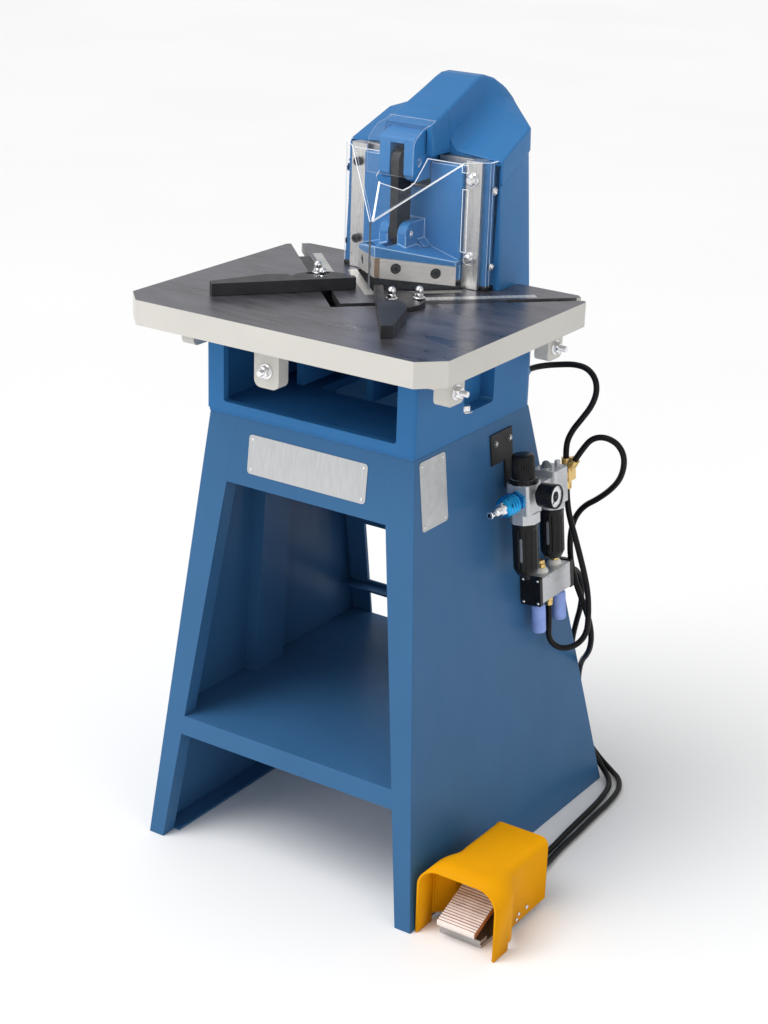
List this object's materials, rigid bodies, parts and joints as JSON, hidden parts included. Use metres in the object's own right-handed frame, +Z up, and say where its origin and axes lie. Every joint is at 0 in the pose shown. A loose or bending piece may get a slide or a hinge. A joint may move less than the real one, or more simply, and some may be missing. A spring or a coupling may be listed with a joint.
{
  "type": "corner notcher",
  "caption": "Pneumatic corner notcher on a folded sheet stand, with a slotted table, angled fences, a guarded V ram and a foot pedal.",
  "frame": {"origin": "centre of the machine's footprint on the floor, hoses left out", "axes": "+Z up, -Y towards the operator, +X towards the air unit and the pedal"},
  "size_m": [0.7, 0.6924, 1.25],
  "materials": {
    "blue_cast": "painted casting, satin",
    "blue_sheet": "smooth satin paint",
    "cream_cast": "painted casting, ground dark top",
    "ground_steel": "ground",
    "blade_steel": "ground tool steel",
    "black_steel": "black oxide",
    "bright_steel": "plated",
    "clear_guard": "clear sheet with polished edges",
    "scale": "satin",
    "zinc_cast": "die cast, painted grey",
    "alu": "satin",
    "blue_anodised": "anodised, glossy",
    "brass": "turned",
    "black_plastic": "satin",
    "muffler_plastic": "porous plastic",
    "pedal_paint": "yellow-orange paint",
    "tread": "ribbed",
    "hose_rubber": "smooth black hose"
  },
  "bodies": {
    "base": {"stand_front_panel": "blue_sheet", "stand_back_panel": "blue_sheet", "stand_shelf": "blue_sheet", "stand_left_panel": "blue_sheet", "stand_stiffeners": "blue_sheet", "stand_right_panel": "blue_sheet", "lower_casting": "blue_cast", "frame_casting": "blue_cast", "table": "cream_cast", "levelling_screws": "bright_steel", "scale_strips": "scale", "lower_die_right": "blade_steel", "lower_die_left": "blade_steel", "gib_right": "ground_steel", "gib_left": "ground_steel", "gib_bolts": "bright_steel", "slideway_plate": "ground_steel", "guard_right": "clear_guard", "guard_left": "clear_guard", "guard_fixings": "bright_steel", "rocker_pivot_pin": "bright_steel", "air_cylinder": "alu", "air_bracket": "black_steel", "regulator_body": "zinc_cast", "bowls": "black_plastic", "gauge_case": "black_plastic", "lubricator_body": "zinc_cast", "inlet_coupling": "blue_anodised", "inlet_nipple": "bright_steel", "outlet_cross": "brass", "valve_body": "alu", "valve_end_caps": "black_plastic", "valve_fittings": "brass", "mufflers": "muffler_plastic", "pedal_guard": "pedal_paint", "pedal_base": "zinc_cast", "pedal_axle": "bright_steel", "box_hose": "hose_rubber", "valve_hose": "hose_rubber", "supply_hose": "hose_rubber", "pilot_hose": "hose_rubber"},
    "ram": {"ram": "ground_steel", "upper_blade_left": "blade_steel", "upper_blade_right": "blade_steel", "blade_screws": "black_steel", "clevis_pin": "bright_steel"},
    "rocker": {"rocker": "black_steel", "rocker_pins": "bright_steel"},
    "link": {"link": "black_steel"},
    "piston_rod": {"piston_rod": "bright_steel"},
    "fence_slide_left": {"fence_slide_left": "black_steel", "fence_studs_left": "bright_steel"},
    "fence_slide_right": {"fence_slide_right": "black_steel", "fence_studs_right": "bright_steel"},
    "fence_left": {"fence_left": "black_steel"},
    "fence_right": {"fence_right": "black_steel"},
    "regulator_knob": {"regulator_knob": "black_plastic"},
    "gauge_needle": {"gauge_needle": "black_plastic"},
    "pedal_tread": {"pedal_tread": "tread"},
    "inlet_sleeve": {"inlet_sleeve": "blue_anodised"}
  },
  "joints": [
    {"name": "ram_slide", "type": "slide", "parent": "base", "child": "ram", "axis": [0, 0, 1], "range_m": [-0.026, 0], "stiffness_N_per_m": 900, "springref_m": 0.25},
    {"name": "rocker_pivot", "type": "hinge", "parent": "base", "child": "rocker", "pos_m": [-0.062, 0.098, 1.123], "axis": [1, 0, 0], "range_deg": [0, 17]},
    {"name": "link_pin", "type": "hinge", "parent": "rocker", "child": "link", "pos_m": [-0.062, 0.01097, 1.136], "axis": [1, 0, 0], "range_deg": [-17, 0]},
    {"name": "rod_slide", "type": "slide", "parent": "base", "child": "piston_rod", "axis": [0, 0, 1], "range_m": [0, 0.0136]},
    {"name": "left_fence_slide", "type": "slide", "parent": "base", "child": "fence_slide_left", "axis": [-0.7071, 0.7071, 0], "range_m": [-0.02, 0.06]},
    {"name": "right_fence_slide", "type": "slide", "parent": "base", "child": "fence_slide_right", "axis": [0.7071, 0.7071, 0], "range_m": [-0.02, 0.06]},
    {"name": "left_fence_swing", "type": "hinge", "parent": "fence_slide_left", "child": "fence_left", "pos_m": [-0.149, -0.073, 0.95], "axis": [0, 0, 1], "range_deg": [-15, 15]},
    {"name": "right_fence_swing", "type": "hinge", "parent": "fence_slide_right", "child": "fence_right", "pos_m": [-0.0015, -0.0975, 0.95], "axis": [0, 0, 1], "range_deg": [-15, 15]},
    {"name": "regulator_knob_turn", "type": "hinge", "parent": "base", "child": "regulator_knob", "pos_m": [0.18079, 0.02, 0.66514], "axis": [-0.0963, 0, 0.9953], "range_deg": [-360, 360]},
    {"name": "gauge_needle_turn", "type": "hinge", "parent": "base", "child": "gauge_needle", "pos_m": [0.24036, 0.02, 0.6465], "axis": [0.9953, 0, 0.0963], "range_deg": [-270, 0], "stiffness_Nm_per_rad": 0.002, "springref_deg": 11.46},
    {"name": "pedal_press", "type": "hinge", "parent": "base", "child": "pedal_tread", "pos_m": [0.278, -0.158, 0.054], "axis": [1, 0, 0], "range_deg": [0, 6], "stiffness_Nm_per_rad": 8, "springref_deg": -8.59},
    {"name": "inlet_sleeve_slide", "type": "slide", "parent": "base", "child": "inlet_sleeve", "axis": [0, 1, 0], "range_m": [0, 0.005]}
  ],
  "couplings": [
    {"joint": "rocker_pivot", "follows": "ram_slide", "rad_per_m": -11.405},
    {"joint": "link_pin", "follows": "ram_slide", "rad_per_m": 11.405},
    {"joint": "rod_slide", "follows": "ram_slide", "ratio": -0.5227}
  ]
}
